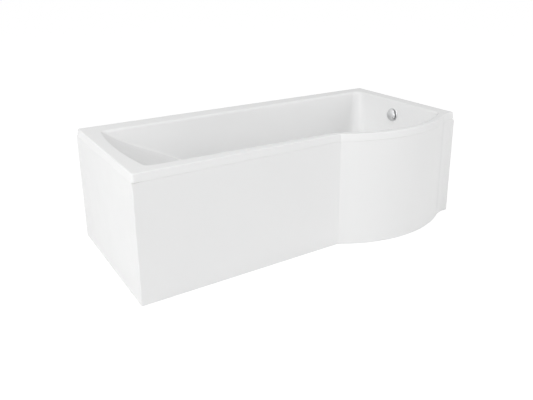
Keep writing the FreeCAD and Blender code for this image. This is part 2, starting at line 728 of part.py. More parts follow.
LEG_HEAD = f"({BOARD_HEAD} + leg_head_inset)"
LEG_FOOT = f"({BOARD_FOOT} - leg_foot_inset)"
board_front = value(BOARD_FRONT)
board_back = value(BOARD_BACK)
bar_screws = {}
for name, text in (("head", LEG_HEAD), ("foot", LEG_FOOT)):
    spots = [board_front + (board_back - board_front) * share for share in (0.12, 0.37, 0.63, 0.88)]
    bar_screws[name] = [at(value(text), y, value(BOARD_BOTTOM) - size.bar_wall) for y in spots]
board_plain = extruded("board_plain", "XY_Plane", (
    (BOARD_HEAD, BOARD_FRONT), (BOARD_FOOT, BOARD_FRONT), (BOARD_FOOT, f"{WASTE_Y} - board_notch"),
    (f"{WASTE_X} - board_notch", f"{WASTE_Y} - board_notch"),
    (f"{WASTE_X} - board_notch", f"{WASTE_Y} + board_notch"), (BOARD_FOOT, f"{WASTE_Y} + board_notch"),
    (BOARD_FOOT, BOARD_BACK), (BOARD_HEAD, BOARD_BACK),
), "board_thickness", ("0", "0", f"{BOARD_BOTTOM} + board_thickness / 2"))
keep("base_board", screwed("base_board", board_plain, bar_screws["head"] + bar_screws["foot"]))


# Leg frames: a channel with two feet on threaded rods

FEET_Y = {
    "head": (f"({FRONT} + foot_setback)", f"({BACK} - foot_setback)"),
    "foot": (f"({FRONT} - bulge_depth + bulge_setback)", f"({BACK} - foot_setback)"),
}
FEET_X = {"head": LEG_HEAD, "foot": LEG_FOOT}
ROD_TOP = f"({BOARD_BOTTOM} + strap_wall + nut_height + foot_travel + rod_spare)"
LOW_NUT = f"({BOARD_BOTTOM} - bar_wall - nut_height)"
WEB = f"({BOARD_BOTTOM} - bar_wall)"

nut_plain = doc.addObject("Part::Prism", "nut_plain")
nut_plain.Polygon = 6
bind(nut_plain, "Circumradius", "nut_width / 2 / cos(30)")
bind(nut_plain, "Height", "nut_height")
nut_cone = turned("nut_cone", (
    ("0", "0"), ("nut_width * 0.475", "0"), ("nut_width * 0.6", "nut_bevel"),
    ("nut_width * 0.6", "nut_height - nut_bevel"), ("nut_width * 0.475", "nut_height"), ("0", "nut_height"),
))
nut_bore = rod("nut_bore", "rod_radius + rod_play", "nut_height", ("0", "0", "0"))
nut = cut("nut", shared("nut_bevelled", nut_plain, nut_cone), [nut_bore])
nut_spots = []

for end, bar_x in FEET_X.items():
    y_front, y_back = FEET_Y[end]
    channel = extruded(f"channel_{end}", "XZ_Plane", (
        ("-bar_width / 2", BOARD_BOTTOM), ("-bar_width / 2", f"{BOARD_BOTTOM} - bar_height"),
        ("bar_wall - bar_width / 2", f"{BOARD_BOTTOM} - bar_height"), ("bar_wall - bar_width / 2", WEB),
        ("bar_width / 2 - bar_wall", WEB), ("bar_width / 2 - bar_wall", f"{BOARD_BOTTOM} - bar_height"),
        ("bar_width / 2", f"{BOARD_BOTTOM} - bar_height"), ("bar_width / 2", BOARD_BOTTOM),
    ), f"{y_back} - {y_front} + 2 * bar_end", (bar_x, f"({y_back} + {y_front}) / 2", "0"))
    holes = [rod(f"rod_hole_{end}_{spot}", "rod_radius + hole_play", "4 * bar_wall",
                 (bar_x, y, f"{WEB} - bar_wall")) for spot, y in (("front", y_front), ("back", y_back))]
    holes.append(group(f"bar_screw_space_{end}", screw_space, bar_screws[end]))
    keep(f"leg_bar_{end}", cut(f"leg_bar_{end}", channel, holes))

    for spot, y, strap in (("front", y_front, "strap_wall"), ("back", y_back, "0")):
        place = (bar_x, y, "0")
        keep(f"foot_pad_{end}_{spot}", turned(f"foot_pad_{end}_{spot}", (
            ("0", "0"), ("pad_radius", "0"), ("pad_radius", "pad_rim"), ("pad_neck", "pad_rim + pad_slope"),
            ("pad_neck", "pad_height"), ("rod_radius + pad_play", "pad_height"),
            ("rod_radius + pad_play", "pad_floor"), ("0", "pad_floor"),
        ), place))
        collar = f"({LOW_NUT} - stop_gap)"
        keep(f"foot_rod_{end}_{spot}", turned(f"foot_rod_{end}_{spot}", (
            ("0", "pad_floor"), ("rod_radius", "pad_floor"), ("rod_radius", f"{collar} - collar_height"),
            ("collar_radius", f"{collar} - collar_height"), ("collar_radius", collar),
            ("rod_radius", collar), ("rod_radius", ROD_TOP), ("0", ROD_TOP),
        ), place))
        nut_spots.append(at(value(bar_x), value(y), value(LOW_NUT)))
        nut_spots.append(at(value(bar_x), value(y), value(f"{BOARD_BOTTOM} + {strap}")))

keep("foot_nuts", group("foot_nuts", nut, nut_spots))
keep("leg_bar_screws", group("leg_bar_screws", screw, bar_screws["head"] + bar_screws["foot"]))

# Panel brackets: held under the front foot nuts, each with a tab behind the panel
BULGE_RADIUS = "((bulge_chord ^ 2 / 4 + bulge_depth ^ 2) / (2 * bulge_depth))"
BULGE_X = f"({FOOT} - land_length - bulge_chord / 2)"
BULGE_Y = f"({FRONT} - bulge_depth + {BULGE_RADIUS})"
BULGE_REACH = f"(abs({LEG_FOOT} - {BULGE_X}) + strap_width / 2)"
BULGE_FACE = f"({BULGE_Y} - sqrt(({BULGE_RADIUS} - panel_wall) ^ 2 - {BULGE_REACH} ^ 2))"
PANEL_FACE = {"head": f"({FRONT} + panel_wall)", "foot": BULGE_FACE}
for end, bar_x in FEET_X.items():
    tip = f"({PANEL_FACE[end]} + seat_gap)"
    tail = f"({FEET_Y[end][0]} + strap_tail)"
    strap = extruded(f"strap_{end}", "YZ_Plane", (
        (tip, BOARD_BOTTOM), (tail, BOARD_BOTTOM), (tail, f"{BOARD_BOTTOM} + strap_wall"),
        (f"{tip} + strap_wall", f"{BOARD_BOTTOM} + strap_wall"),
        (f"{tip} + strap_wall", f"{BOARD_BOTTOM} + strap_tab"), (tip, f"{BOARD_BOTTOM} + strap_tab"),
    ), "strap_width", (bar_x, "0", "0"))
    hole = rod(f"strap_hole_{end}", "rod_radius + hole_play", "3 * strap_wall",
               (bar_x, FEET_Y[end][0], f"{BOARD_BOTTOM} - strap_wall"))
    keep(f"panel_bracket_{end}", cut(f"panel_bracket_{end}", strap, [hole]))


# Waste: flange, body, plug with its lever, trap and outlet pipe

WASTE = (WASTE_X, WASTE_Y, "0")
RIM_LOW = f"({FLOOR} + seal_height)"
RIM_TOP = f"({RIM_LOW} + waste_rim_height)"
STEM_LOW = f"({CUP_TOP} - neck_depth)"
keep("waste_flange", turned("waste_flange", (
    ("waste_bore", STEM_LOW), ("waste_stem", STEM_LOW), ("waste_stem", RIM_LOW), ("waste_rim", RIM_LOW),
    ("waste_rim", f"{RIM_TOP} - waste_rim_bevel"), ("waste_rim - waste_rim_slope", RIM_TOP),
    ("waste_bore + waste_seat", RIM_TOP),
    ("waste_bore", f"{RIM_TOP} - waste_seat"),
), WASTE))
keep("waste_flange_seal", turned("waste_flange_seal", (
    ("waste_stem + thread_play", FLOOR), ("waste_rim - gasket_setback", FLOOR),
    ("waste_rim - gasket_setback", RIM_LOW), ("waste_stem + thread_play", RIM_LOW),
), WASTE))
keep("waste_gasket", turned("waste_gasket", (
    ("waste_hole", CUP_TOP), ("cup_rim - gasket_setback", CUP_TOP),
    ("cup_rim - gasket_setback", f"{CUP_TOP} + gasket_height"),
    ("waste_hole", f"{CUP_TOP} + gasket_height"),
), WASTE))

CUP_LOW = f"({CUP_TOP} - cup_depth)"
SPIGOT_LOW = f"({CUP_LOW} - spigot)"
CUP_BORE = "(cup_radius - cup_wall)"
PIPE_BORE = "(pipe_radius - pipe_wall)"
cup = turned("cup", (
    ("waste_stem + thread_play", CUP_TOP), ("cup_rim", CUP_TOP), ("cup_rim", f"{CUP_TOP} - cup_rim_height"),
    ("cup_radius", f"{CUP_TOP} - cup_rim_height"), ("cup_radius", CUP_LOW), ("pipe_radius", CUP_LOW),
    ("pipe_radius", SPIGOT_LOW), (PIPE_BORE, SPIGOT_LOW), (PIPE_BORE, f"{CUP_LOW} + cup_wall"),
    (CUP_BORE, f"{CUP_LOW} + cup_wall"), (CUP_BORE, STEM_LOW), ("waste_stem + thread_play", STEM_LOW),
), WASTE)
INLET_Z = f"({CUP_TOP} - inlet_drop)"
ALONG_X = ((0, 1, 0), "90")
ALONG_Y = ((1, 0, 0), "-90")
INLET_ROOT = f"({CUP_BORE} - cup_wall / 3)"
inlet = rod("inlet", "overflow_pipe_radius", f"inlet_reach - {INLET_ROOT}",
            (f"{WASTE_X} + {INLET_ROOT}", WASTE_Y, INLET_Z), *ALONG_X)
inlet_bore = rod("inlet_bore", "overflow_pipe_bore", "inlet_reach", (WASTE_X, WASTE_Y, INLET_Z), *ALONG_X)
cup_space = rod("cup_space", CUP_BORE, f"{STEM_LOW} - {CUP_LOW} - cup_wall",
                (WASTE_X, WASTE_Y, f"{CUP_LOW} + cup_wall"))
GUIDE_TOP = f"({CUP_TOP} - guide_drop)"
GUIDE_LOW = f"({GUIDE_TOP} - guide_height)"
guide = rod("guide", "guide_radius", "guide_height", (WASTE_X, WASTE_Y, GUIDE_LOW))
guide_bar = block("guide_bar", ("guide_bar", f"2 * {CUP_BORE} + cup_wall", "guide_height"),
                  (f"{WASTE_X} - guide_bar / 2", f"{WASTE_Y} - {CUP_BORE} - cup_wall / 2", GUIDE_LOW))
guide_bore = rod("guide_bore", "stem_radius + stem_play", "3 * guide_height",
                 (WASTE_X, WASTE_Y, f"{GUIDE_LOW} - guide_height"))
PIVOT_X = f"({WASTE_X} + lever_arm)"
PIVOT_Z = f"({CUP_TOP} - lever_drop)"
PIN_END = (PIVOT_X, f"{WASTE_Y} - pin_length / 2", PIVOT_Z)
pin_bore = rod("pin_bore", "pin_radius", "pin_length", PIN_END, *ALONG_Y)
cup_outside = cut("cup_outside", fused("cup_stubs", [cup, inlet]), [cup_space, inlet_bore])
cup_guided = fused("cup_guided", [cup_outside, guide, guide_bar])
keep("waste_body", cut("waste_body", cup_guided, [guide_bore, pin_bore]))
keep("lever_pin", rod("lever_pin", "pin_radius", "pin_length", PIN_END, *ALONG_Y))

LEVER_ANGLE = "asin(plug_lift / 2 / lever_arm)"
lever_tip = rod("lever_tip", "lever_tip", "lever_width", ("-lever_arm", "-lever_width / 2", "0"), *ALONG_Y)
lever_hub = rod("lever_hub", "lever_hub", "lever_width", ("0", "-lever_width / 2", "0"), *ALONG_Y)
lever_bar = block("lever_bar", ("lever_arm", "lever_width", "lever_bar"),
                  ("-lever_arm", "-lever_width / 2", "-lever_bar / 2"))
lever_bore = rod("lever_bore", "pin_radius + pin_play", "2 * lever_width",
                 ("0", "-lever_width", "0"), *ALONG_Y)
lever = cut("lift_lever", fused("lever_whole", [lever_tip, lever_hub, lever_bar]), [lever_bore])
turn(lever, (0, 1, 0), f"-{LEVER_ANGLE}")
seat(lever, (PIVOT_X, WASTE_Y, PIVOT_Z))
keep("lift_lever", lever)

STEM_FOOT = f"({PIVOT_Z} - plug_lift / 2 + lever_tip + lever_gap)"
PLUG_LOW = f"({RIM_TOP} + plug_gap)"
keep("plug_stem", rod("plug_stem", "stem_radius", f"{PLUG_LOW} + plug_edge - {STEM_FOOT}",
                      (WASTE_X, WASTE_Y, STEM_FOOT)))
PLUG_TOP = f"({PLUG_LOW} + plug_height)"
plug_plain = turned("plug_plain", (
    ("stem_radius + stem_play", PLUG_LOW), ("plug_radius - plug_bevel", PLUG_LOW),
    ("plug_radius", f"{PLUG_LOW} + plug_bevel"),
    ("plug_radius", f"{PLUG_TOP} + plug_bevel"), ("0", f"{PLUG_TOP} + plug_bevel"),
    ("0", f"{PLUG_LOW} + plug_edge"), ("stem_radius + stem_play", f"{PLUG_LOW} + plug_edge"),
))
plug = domed("waste_plug", plug_plain, "plug_radius", PLUG_TOP, "(plug_height - plug_edge)")
seat(plug, WASTE)
keep("waste_plug", plug)
SEAL_LOW = f"({PLUG_LOW} - plug_seal_height)"
keep("plug_seal", turned("plug_seal", (
    ("stem_radius + stem_play", SEAL_LOW), ("plug_seal_radius", SEAL_LOW),
    ("plug_seal_radius", PLUG_LOW), ("stem_radius + stem_play", PLUG_LOW),
), WASTE))


def straight(start, end):
    return [Part.LineSegment(start, end).toShape()] if start.distanceToPoint(end) > 0.001 else []


def bent_path(points, radii):
    edges = []
    start = points[0]
    for index, radius in enumerate(radii, start=1):
        before = (points[index - 1] - points[index]).normalize()
        after = (points[index + 1] - points[index]).normalize()
        half = before.getAngle(after) / 2
        reach = radius / math.tan(half)
        centre = points[index] + (before + after).normalize() * (radius / math.sin(half))
        first = points[index] + before * reach
        last = points[index] + after * reach
        edges += straight(start, first)
        edges.append(Part.Arc(first, arc_middle(centre, first, last, radius), last).toShape())
        start = last
    return edges + straight(start, points[-1])


def bar(edge, radius):
    start = edge.valueAt(edge.FirstParameter)
    heading = edge.tangentAt(edge.FirstParameter)
    if edge.Curve.TypeId == "Part::GeomLine":
        return Part.makeCylinder(radius, edge.Length, start, heading)
    disc = Part.Face(Part.Wire(Part.Circle(start, heading, radius).toShape()))
    sweep = math.degrees(edge.LastParameter - edge.FirstParameter)
    return disc.revolve(edge.Curve.Center, edge.Curve.Axis, sweep)


def tube(path, radius, bore):
    skin = [bar(edge, radius) for edge in path]
    core = [bar(edge, bore) for edge in path]
    return skin[0].fuse(skin[1:]).removeSplitter().cut(core[0].fuse(core[1:]).removeSplitter())


def trap_solid():
    dip = -size.trap_leg - size.trap_bend
    up = 2 * size.trap_bend
    end = FreeCAD.Vector(0, up + size.trap_rise + size.union_height / 2, size.trap_rise)
    points = [FreeCAD.Vector(0, 0, 0), FreeCAD.Vector(0, 0, dip), FreeCAD.Vector(0, up, dip),
              FreeCAD.Vector(0, up, size.trap_rise), end]
    path = bent_path(points, [size.trap_bend, size.trap_bend, size.trap_rise])
    trap = tube(path, size.pipe_radius, size.pipe_radius - size.pipe_wall)
    inlet = FreeCAD.Vector(value(WASTE_X), value(WASTE_Y), value(f"{SPIGOT_LOW} - butt_gap"))
    return trap.translate(inlet), inlet + end


trap_shape, trap_end = trap_solid()
keep("trap_body", solid("trap_body", trap_shape))


def union_nut(name, radius, ribs):
    nut = turned(name, (
        (f"{radius} + union_play", "-union_height / 2"),
        (f"{radius} + union_wall - union_bevel", "-union_height / 2"),
        (f"{radius} + union_wall", "union_bevel - union_height / 2"),
        (f"{radius} + union_wall", "union_height / 2 - union_bevel"),
        (f"{radius} + union_wall - union_bevel", "union_height / 2"),
        (f"{radius} + union_play", "union_height / 2"),
    ))
    rib = nut.newObject("PartDesign::Pad", f"{name}_rib")
    low = f"{radius} + union_wall / 2"
    high = f"{radius} + union_wall + union_rib_rise"
    sketch = profile(nut, "XY_Plane", (
        (low, "-union_rib / 2"), (high, "-union_rib / 4"), (high, "union_rib / 4"), (low, "union_rib / 2"),
    ))
    rib.Profile = sketch
    rib.SideType = "Symmetric"
    bind(rib, "Length", "union_height - 2 * union_rib_end")
    pattern = nut.newObject("PartDesign::PolarPattern", f"{name}_ribs")
    pattern.Originals = [rib]
    pattern.Axis = (sketch, ["N_Axis"])
    pattern.Angle = 360
    pattern.Occurrences = ribs
    nut.Tip = pattern
    return nut


trap_nut = union_nut("trap_nut", "pipe_radius", 12)
keep("trap_union_nuts", group("trap_union_nuts", trap_nut, [
    at(value(WASTE_X), value(WASTE_Y), value(f"{SPIGOT_LOW} - butt_gap - trap_leg + union_height / 2")),
    at(trap_end.x, trap_end.y, trap_end.z, (1, 0, 0), 90),
]))
OUTLET_Z = f"({SPIGOT_LOW} - butt_gap + trap_rise)"
OUTLET_Y = f"({WASTE_Y} + 2 * trap_bend + trap_rise + union_height / 2 + butt_gap)"
OUTLET_LENGTH = f"{BACK} - outlet_setback - {OUTLET_Y}"
outlet = rod("outlet", "pipe_radius", OUTLET_LENGTH, (WASTE_X, OUTLET_Y, OUTLET_Z), *ALONG_Y)
outlet_bore = rod("outlet_bore", PIPE_BORE, OUTLET_LENGTH, (WASTE_X, OUTLET_Y, OUTLET_Z), *ALONG_Y)
coupling = rod("coupling", "coupling_radius", "coupling_length",
               (WASTE_X, f"{OUTLET_Y} + coupling_start", OUTLET_Z), *ALONG_Y)
keep("outlet_pipe", cut("outlet_pipe", fused("outlet_whole", [outlet, coupling]), [outlet_bore]))


# Overflow: built on its own axis with +Z into the basin, then set square to the leaning foot wall

OVERFLOW = (OVERFLOW_X, WASTE_Y, OVERFLOW_Z)


def on_foot_wall(label, piece):
    turn(piece, (0, 1, 0), f"{TILT} - 90 deg")
    seat(piece, OVERFLOW)
    return keep(label, piece)


on_foot_wall("overflow_rosette", turned("overflow_rosette", (
    ("rosette_bore", "-rosette_stem"), ("waste_stem", "-rosette_stem"), ("waste_stem", "0"),
    ("rosette_radius", "0"), ("rosette_radius", "rosette_height / 2"),
    ("rosette_radius - rosette_slope", "rosette_height"),
    ("rosette_bore + rosette_bevel", "rosette_height"),
    ("rosette_bore", "rosette_height - rosette_bevel"),
)))
GASKET_LOW = f"(-{WALL} - gasket_wall)"
on_foot_wall("overflow_gasket", turned("overflow_gasket", (
    ("waste_hole", GASKET_LOW), ("rosette_radius - gasket_setback", GASKET_LOW),
    ("rosette_radius - gasket_setback", f"-{WALL}"), ("waste_hole", f"-{WALL}"),
)))
ELBOW_BORE = "(elbow_radius - elbow_wall)"
SPINDLE_BORE = "(spindle_radius + spindle_play)"
ELBOW_FLOOR = "(elbow_wall - elbow_depth)"
BEARING_TOP = f"({ELBOW_FLOOR} + bearing_height)"
elbow_cup = turned("elbow_cup", (
    ("0", "-elbow_depth"), ("elbow_radius", "-elbow_depth"),
    ("elbow_radius", f"{GASKET_LOW} - elbow_rim_height"),
    ("rosette_radius", f"{GASKET_LOW} - elbow_rim_height"),
    ("rosette_radius", GASKET_LOW), ("waste_stem + thread_play", GASKET_LOW),
    ("waste_stem + thread_play", "-rosette_stem"), (ELBOW_BORE, "-rosette_stem"),
    (ELBOW_BORE, ELBOW_FLOOR), ("bearing_radius", ELBOW_FLOOR), ("bearing_radius", BEARING_TOP),
    (SPINDLE_BORE, BEARING_TOP), (SPINDLE_BORE, ELBOW_FLOOR), ("0", ELBOW_FLOOR),
))
SPOUT_Z = f"(({ELBOW_FLOOR} - rosette_stem) / 2)"
spout = rod("spout", "overflow_pipe_radius", f"spout_length - {ELBOW_BORE}",
            (f"-{ELBOW_BORE}", "0", SPOUT_Z), (0, 1, 0), "-90")
spout_bore = rod("spout_bore", "overflow_pipe_bore", "spout_length - drum_radius",
                 ("-drum_radius", "0", SPOUT_Z), (0, 1, 0), "-90")
elbow_open = cut("elbow_open", fused("elbow_spout", [elbow_cup, spout]), [spout_bore])
on_foot_wall("overflow_elbow", elbow_open)

KNOB_LOW = "(rosette_height + knob_gap)"
KNOB_TOP = f"({KNOB_LOW} + knob_height)"
KNOB_SEAT = f"({KNOB_LOW} + knob_socket)"
knob_plain = turned("knob_plain", (
    (SPINDLE_BORE, KNOB_LOW), ("knob_radius - knob_bevel", KNOB_LOW),
    ("knob_radius", f"{KNOB_LOW} + knob_bevel"),
    ("knob_radius", f"{KNOB_TOP} + knob_bevel"), ("0", f"{KNOB_TOP} + knob_bevel"), ("0", KNOB_SEAT),
    (SPINDLE_BORE, KNOB_SEAT),
))
knob_dome = domed("knob_dome", knob_plain, "knob_radius", KNOB_TOP, "(knob_height - knob_edge)")
GRIP = "(knob_radius + knob_grip - knob_grip_bite)"
grips = [rod(f"knob_grip_{grip_turn}", "knob_grip", "2 * knob_height",
             (f"{GRIP} * cos({grip_turn})", f"{GRIP} * sin({grip_turn})", "rosette_height"))
         for grip_turn in (60, 180, 300)]
on_foot_wall("overflow_knob", cut("overflow_knob", knob_dome, grips))
SPINDLE_END = f"({ELBOW_FLOOR} + drum_gap)"
DRUM_LOW = f"({BEARING_TOP} + drum_gap)"
DRUM_TOP = f"({DRUM_LOW} + drum_height)"
on_foot_wall("knob_spindle", turned("knob_spindle", (
    ("0", SPINDLE_END), ("spindle_radius", SPINDLE_END), ("spindle_radius", DRUM_LOW),
    ("drum_radius", DRUM_LOW), ("drum_radius", DRUM_TOP), ("spindle_radius", DRUM_TOP),
    ("spindle_radius", KNOB_SEAT), ("0", KNOB_SEAT),
)))


# Overflow pipe, from the elbow down behind the foot wall to the waste body

def overflow_pipe_solid():
    place = overflow_place()
    start = place.multVec(FreeCAD.Vector(-size.spout_length - size.butt_gap, 0, value(SPOUT_Z)))
    down = place.Rotation.multVec(FreeCAD.Vector(-1, 0, 0))
    end_x = value(f"{WASTE_X} + inlet_reach + butt_gap")
    end = FreeCAD.Vector(end_x, value(WASTE_Y), value(INLET_Z))
    # the bend's corner lies where the line down the wall meets the level line to the waste body
    bend = start + down * ((end.z - start.z) / down.z)
    path = bent_path([start, bend, end], [size.overflow_pipe_bend])
    return tube(path, size.overflow_pipe_radius, size.overflow_pipe_bore)


keep("overflow_pipe", solid("overflow_pipe", overflow_pipe_solid()))
pipe_nut = union_nut("pipe_nut", "overflow_pipe_radius", 10)
spout_joint = overflow_place().multiply(at(-size.spout_length, 0, value(SPOUT_Z), (0, 1, 0), 90))
inlet_joint = at(value(f"{WASTE_X} + inlet_reach"), value(WASTE_Y), value(INLET_Z), (0, 1, 0), 90)
keep("pipe_union_nuts", group("pipe_union_nuts", pipe_nut, [spout_joint, inlet_joint]))


# Build, test and write

doc.recompute()
for item in doc.Objects:
    if "Invalid" in item.State or "Error" in item.State:
        raise RuntimeError(f"{item.Name} did not build: {item.State}")
for label, node in nodes.items():
    if node.Shape.isNull() or not node.Shape.isValid() or not node.Shape.Solids:
        raise RuntimeError(f"{label} is not a valid solid")
print(f"{len(nodes)} nodes, {sum(len(node.Shape.Solids) for node in nodes.values())} solids")

os.makedirs("parts", exist_ok=True)
for label, node in nodes.items():
    node.Shape.exportStep(f"parts/{label}.step")
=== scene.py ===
import bpy
import json
import math
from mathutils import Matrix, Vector

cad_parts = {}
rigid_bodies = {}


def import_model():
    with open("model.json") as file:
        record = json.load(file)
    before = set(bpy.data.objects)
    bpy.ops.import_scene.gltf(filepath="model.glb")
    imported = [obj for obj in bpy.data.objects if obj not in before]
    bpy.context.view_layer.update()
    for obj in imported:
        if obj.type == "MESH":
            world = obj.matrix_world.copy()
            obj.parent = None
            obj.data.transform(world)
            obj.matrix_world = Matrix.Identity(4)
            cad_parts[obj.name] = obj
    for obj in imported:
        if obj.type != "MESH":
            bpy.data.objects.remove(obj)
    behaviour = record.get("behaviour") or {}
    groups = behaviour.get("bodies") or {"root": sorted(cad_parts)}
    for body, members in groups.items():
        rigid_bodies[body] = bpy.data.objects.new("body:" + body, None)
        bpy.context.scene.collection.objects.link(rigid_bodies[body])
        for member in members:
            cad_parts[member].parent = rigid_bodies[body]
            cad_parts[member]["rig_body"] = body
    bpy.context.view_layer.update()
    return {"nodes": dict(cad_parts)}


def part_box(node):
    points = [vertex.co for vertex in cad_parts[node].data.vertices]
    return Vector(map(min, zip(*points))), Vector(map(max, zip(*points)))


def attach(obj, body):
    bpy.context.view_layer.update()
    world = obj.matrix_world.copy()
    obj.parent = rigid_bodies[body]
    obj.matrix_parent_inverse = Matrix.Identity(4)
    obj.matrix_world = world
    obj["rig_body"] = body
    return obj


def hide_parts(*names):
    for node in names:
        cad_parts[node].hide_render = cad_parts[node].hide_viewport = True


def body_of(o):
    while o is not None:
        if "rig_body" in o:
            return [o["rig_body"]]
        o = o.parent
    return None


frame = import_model()
nodes = frame["nodes"]
print("stage: bath loaded,", len(nodes), "nodes")

# helpers for selecting and shaping: lengths in metres, angles in degrees
meshRules = {"merge": 0.00002, "flat": 0.6, "sharp": 38, "shortEdge": 1.5, "segments": 2,
             "speck": 0.00001}


def deselectAll():
    if bpy.context.mode != "OBJECT":
        bpy.ops.object.mode_set(mode="OBJECT")
    bpy.ops.object.select_all(action="DESELECT")


def makeActive(piece):
    deselectAll()
    piece.select_set(True)
    bpy.context.view_layer.objects.active = piece


def editAll(piece):
    makeActive(piece)
    bpy.ops.object.mode_set(mode="EDIT")
    bpy.ops.mesh.select_all(action="SELECT")


def applyModifier(piece, modifier):
    makeActive(piece)
    bpy.ops.object.modifier_apply(modifier=modifier.name)


def smoothOver(piece, creaseAngle):
    makeActive(piece)
    bpy.ops.object.shade_smooth_by_angle(angle=math.radians(creaseAngle), keep_sharp_edges=False)
    even = piece.modifiers.new("evenNormals", "WEIGHTED_NORMAL")
    even.keep_sharp = True
    applyModifier(piece, even)


def mergedCopy(nodeName, pieceName):
    piece = bpy.data.objects.new(pieceName, nodes[nodeName].data.copy())
    bpy.context.scene.collection.objects.link(piece)
    piece.data.materials.clear()
    editAll(piece)
    bpy.ops.mesh.remove_doubles(threshold=meshRules["merge"])  # the node comes as loose triangles
    bpy.ops.mesh.customdata_custom_splitnormals_clear()
    bpy.ops.object.mode_set(mode="OBJECT")
    return piece


def roundEdges(piece, width):
    editAll(piece)
    bpy.ops.mesh.dissolve_limited(angle_limit=math.radians(meshRules["flat"]))  # makes flats whole
    bpy.ops.mesh.select_mode(type="EDGE")
    bpy.ops.mesh.select_all(action="DESELECT")
    bpy.ops.mesh.edges_select_sharp(sharpness=math.radians(meshRules["sharp"]))
    bpy.ops.object.mode_set(mode="OBJECT")
    points = piece.data.vertices
    shortest = meshRules["shortEdge"] * width
    for edge in piece.data.edges:  # the short edges round small holes would hold the others back
        start, end = (points[index].co for index in edge.vertices)
        edge.select = edge.select and (end - start).length > shortest
    bpy.ops.object.mode_set(mode="EDIT")
    bpy.ops.transform.edge_bevelweight(value=1)
    bpy.ops.mesh.select_mode(type="VERT")
    bpy.ops.object.mode_set(mode="OBJECT")
    bevel = piece.modifiers.new("softEdges", "BEVEL")
    bevel.width = width
    bevel.segments = meshRules["segments"]
    bevel.limit_method = "WEIGHT"
    applyModifier(piece, bevel)
    editAll(piece)
    bpy.ops.mesh.dissolve_degenerate(threshold=meshRules["speck"])
    bpy.ops.object.mode_set(mode="OBJECT")


def pieceNameOf(nodeName):
    first, *rest = nodeName.split("_")
    return first + "".join(word.capitalize() for word in rest)


def standFor(piece, nodeName, body):
    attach(piece, body)
    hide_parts(nodeName)


# shader node groups shared by several finishes
mottleLook = {"detail": 4, "spread": (0.3, 0.7)}
mixSockets = {"amount": 0, "dark": 6, "light": 7, "result": 2}  # those that a mix of colours uses


def newGroup(name, inputs, outputs):
    group = bpy.data.node_groups.new(name, "ShaderNodeTree")
    for direction, sockets in (("INPUT", inputs), ("OUTPUT", outputs)):
        for label, kind in sockets:
            group.interface.new_socket(label, in_out=direction, socket_type=kind)
    return group, group.nodes.new("NodeGroupInput"), group.nodes.new("NodeGroupOutput")


def link(tree, source, target):
    tree.links.new(source, target)


def mathNode(tree, operation, first, second):
    node = tree.nodes.new("ShaderNodeMath")
    node.operation = operation
    for socket, item in zip(node.inputs, (first, second)):
        if isinstance(item, (int, float)):
            socket.default_value = item
        else:
            link(tree, item, socket)
    return node.outputs[0]


def makeMottle():
    group, enter, leave = newGroup("softMottle", (
        ("Vector", "NodeSocketVector"), ("Scale", "NodeSocketFloat"),
        ("Low", "NodeSocketFloat"), ("High", "NodeSocketFloat"),
    ), (("Value", "NodeSocketFloat"),))
    noise = group.nodes.new("ShaderNodeTexNoise")
    noise.inputs["Detail"].default_value = mottleLook["detail"]
    spread = group.nodes.new("ShaderNodeMapRange")
    for label, amount in zip(("From Min", "From Max"), mottleLook["spread"]):
        spread.inputs[label].default_value = amount
    link(group, enter.outputs["Vector"], noise.inputs["Vector"])
    link(group, enter.outputs["Scale"], noise.inputs["Scale"])
    link(group, noise.outputs["Fac"], spread.inputs["Value"])
    link(group, enter.outputs["Low"], spread.inputs["To Min"])
    link(group, enter.outputs["High"], spread.inputs["To Max"])
    link(group, spread.outputs["Result"], leave.inputs["Value"])
    return group


def makeTint():
    group, enter, leave = newGroup("tintedSpread", (
        ("Amount", "NodeSocketFloat"), ("Dark", "NodeSocketColor"), ("Light", "NodeSocketColor"),
    ), (("Color", "NodeSocketColor"),))
    mix = group.nodes.new("ShaderNodeMix")
    mix.data_type = "RGBA"
    for label in ("Amount", "Dark", "Light"):
        link(group, enter.outputs[label], mix.inputs[mixSockets[label.lower()]])
    link(group, mix.outputs[mixSockets["result"]], leave.inputs["Color"])
    return group


softMottle = makeMottle()
tintedSpread = makeTint()


